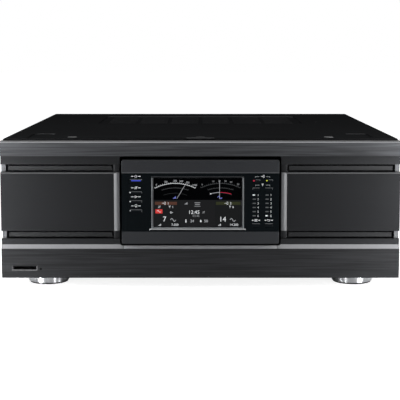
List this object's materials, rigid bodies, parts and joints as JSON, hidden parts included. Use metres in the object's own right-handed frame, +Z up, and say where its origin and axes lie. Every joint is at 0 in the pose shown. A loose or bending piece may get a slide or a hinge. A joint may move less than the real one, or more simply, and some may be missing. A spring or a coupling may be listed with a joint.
{
  "type": "hf linear amplifier",
  "caption": "Low wide desk-top radio amplifier with a lift-out control head holding a colour display and keys, air slots across the front, round feet, rear sockets and fans.",
  "frame": {"origin": "middle of the whole object's footprint, on the desk", "axes": "+X to the user's right, +Y from the front to the rear, +Z up; the front faces -Y"},
  "size_m": [0.425, 0.465, 0.1616],
  "materials": {
    "panel_black": "satin, faintly brushed, black anodised",
    "plate_black": "satin black with a bright bevelled edge",
    "bright_aluminium": "polished",
    "grille_black": "moulded satin",
    "zinc_steel": "zinc plated",
    "connector_black": "moulded",
    "stamped_steel": "stamped",
    "clear_lens": "clear moulded lens",
    "bezel_grey": "satin dark grey",
    "smoked_glass": "glossy smoked window",
    "frame_silver": "satin silver",
    "display_dark": "backlit colour display",
    "lamp_white": "diffusing lamps",
    "circuit_green": "solder-masked board",
    "head_case_black": "textured",
    "plug_nickel": "nickel plated shell",
    "tray_black": "satin black paint",
    "foot_chrome": "polished",
    "pad_rubber": "matte",
    "screw_steel": "plated",
    "cover_black": "fine-textured satin black paint",
    "screw_nickel": "nickel plated",
    "lever_black": "moulded",
    "rear_black": "satin black paint",
    "socket_nickel": "nickel plated",
    "insulator_white": "moulded",
    "contact_plated": "silver and nickel plated",
    "terminal_brass": "nickel plated",
    "inlet_black": "moulded",
    "switch_black": "moulded",
    "rocker_black": "moulded",
    "socket_black": "moulded",
    "lan_steel": "stamped",
    "jack_black": "moulded",
    "fan_black": "moulded",
    "rotor_black": "moulded",
    "sink_aluminium": "extruded",
    "board_green": "solder-masked board",
    "transistor_ceramic": "ceramic on a plated flange",
    "ferrite": "ferrite",
    "wall_steel": "zinc plated",
    "supply_steel": "zinc plated",
    "coil_copper": "enamelled wire on ferrite rings",
    "coil_silver": "silver-plated wire",
    "relay_black": "sealed relays",
    "spacer_brass": "hexagonal pillars",
    "key_grey": "satin moulded"
  },
  "bodies": {
    "case": {"front_panel": "panel_black", "front_plates": "plate_black", "slot_end_caps": "bright_aluminium", "air_grilles": "grille_black", "front_subframe": "zinc_steel", "bay_socket": "connector_black", "card_socket": "stamped_steel", "card_light": "clear_lens", "base_tray": "tray_black", "foot_shells": "foot_chrome", "foot_pads": "pad_rubber", "foot_screws": "screw_steel", "top_cover": "cover_black", "cover_screws": "screw_nickel", "rear_panel": "rear_black", "coaxial_sockets": "socket_nickel", "socket_insulators": "insulator_white", "rear_contacts": "contact_plated", "ground_terminal": "terminal_brass", "mains_inlet": "inlet_black", "switch_frame": "switch_black", "round_sockets": "socket_black", "lan_socket": "lan_steel", "mini_jacks": "jack_black", "fan_frames": "fan_black", "heat_sink": "sink_aluminium", "amplifier_board": "board_green", "power_transistors": "transistor_ceramic", "output_transformers": "ferrite", "centre_wall": "wall_steel", "power_supply": "supply_steel", "control_board": "board_green", "filter_board": "board_green", "filter_coils": "coil_copper", "tuner_board": "board_green", "tuner_coils": "coil_silver", "tuner_relays": "relay_black", "board_spacers": "spacer_brass"},
    "head": {"head_bezel": "bezel_grey", "head_window": "smoked_glass", "screen_frame": "frame_silver", "display_module": "display_dark", "indicator_lamps": "lamp_white", "head_board": "circuit_green", "head_case": "head_case_black", "head_plug": "plug_nickel"},
    "power_key": {"power_key": "key_grey"},
    "tuner_key": {"tuner_key": "key_grey"},
    "amplifier_key": {"amplifier_key": "key_grey"},
    "protection_key": {"protection_key": "key_grey"},
    "input_key_1": {"input_key_1": "key_grey"},
    "input_key_2": {"input_key_2": "key_grey"},
    "antenna_key_1": {"antenna_key_1": "key_grey"},
    "antenna_key_2": {"antenna_key_2": "key_grey"},
    "menu_key": {"menu_key": "key_grey"},
    "back_key": {"back_key": "key_grey"},
    "release_lever": {"release_lever": "lever_black"},
    "switch_rocker": {"switch_rocker": "rocker_black"},
    "fan_rotor_inner": {"fan_rotor_inner": "rotor_black"},
    "fan_rotor_outer": {"fan_rotor_outer": "rotor_black"}
  },
  "joints": [
    {"name": "head_lift_out", "type": "slide", "parent": "case", "child": "head", "axis": [0, -1, 0], "range_m": [0, 0.06]},
    {"name": "power_key_press", "type": "slide", "parent": "head", "child": "power_key", "axis": [0, 1, 0], "range_m": [0, 0.0008], "stiffness_N_per_m": 700, "springref_m": -0.0002},
    {"name": "tuner_key_press", "type": "slide", "parent": "head", "child": "tuner_key", "axis": [0, 1, 0], "range_m": [0, 0.0008], "stiffness_N_per_m": 700, "springref_m": -0.0002},
    {"name": "amplifier_key_press", "type": "slide", "parent": "head", "child": "amplifier_key", "axis": [0, 1, 0], "range_m": [0, 0.0008], "stiffness_N_per_m": 700, "springref_m": -0.0002},
    {"name": "protection_key_press", "type": "slide", "parent": "head", "child": "protection_key", "axis": [0, 1, 0], "range_m": [0, 0.0008], "stiffness_N_per_m": 700, "springref_m": -0.0002},
    {"name": "input_key_1_press", "type": "slide", "parent": "head", "child": "input_key_1", "axis": [0, 1, 0], "range_m": [0, 0.0008], "stiffness_N_per_m": 700, "springref_m": -0.0002},
    {"name": "input_key_2_press", "type": "slide", "parent": "head", "child": "input_key_2", "axis": [0, 1, 0], "range_m": [0, 0.0008], "stiffness_N_per_m": 700, "springref_m": -0.0002},
    {"name": "antenna_key_1_press", "type": "slide", "parent": "head", "child": "antenna_key_1", "axis": [0, 1, 0], "range_m": [0, 0.0008], "stiffness_N_per_m": 700, "springref_m": -0.0002},
    {"name": "antenna_key_2_press", "type": "slide", "parent": "head", "child": "antenna_key_2", "axis": [0, 1, 0], "range_m": [0, 0.0008], "stiffness_N_per_m": 700, "springref_m": -0.0002},
    {"name": "menu_key_press", "type": "slide", "parent": "head", "child": "menu_key", "axis": [0, 1, 0], "range_m": [0, 0.0008], "stiffness_N_per_m": 700, "springref_m": -0.0002},
    {"name": "back_key_press", "type": "slide", "parent": "head", "child": "back_key", "axis": [0, 1, 0], "range_m": [0, 0.0008], "stiffness_N_per_m": 700, "springref_m": -0.0002},
    {"name": "release_lever_press", "type": "slide", "parent": "case", "child": "release_lever", "axis": [0, 0, -1], "range_m": [0, 0.002], "stiffness_N_per_m": 900, "springref_m": -0.0005},
    {"name": "switch_rocker_tilt", "type": "hinge", "parent": "case", "child": "switch_rocker", "pos_m": [0.10364, 0.2115, 0.132], "axis": [-1, 0, 0], "range_deg": [0, 24]},
    {"name": "fan_rotor_inner_spin", "type": "hinge", "parent": "case", "child": "fan_rotor_inner", "pos_m": [0.0555, 0.205, 0.061], "axis": [0, 1, 0], "continuous": true},
    {"name": "fan_rotor_outer_spin", "type": "hinge", "parent": "case", "child": "fan_rotor_outer", "pos_m": [0.1405, 0.205, 0.061], "axis": [0, 1, 0], "continuous": true}
  ]
}
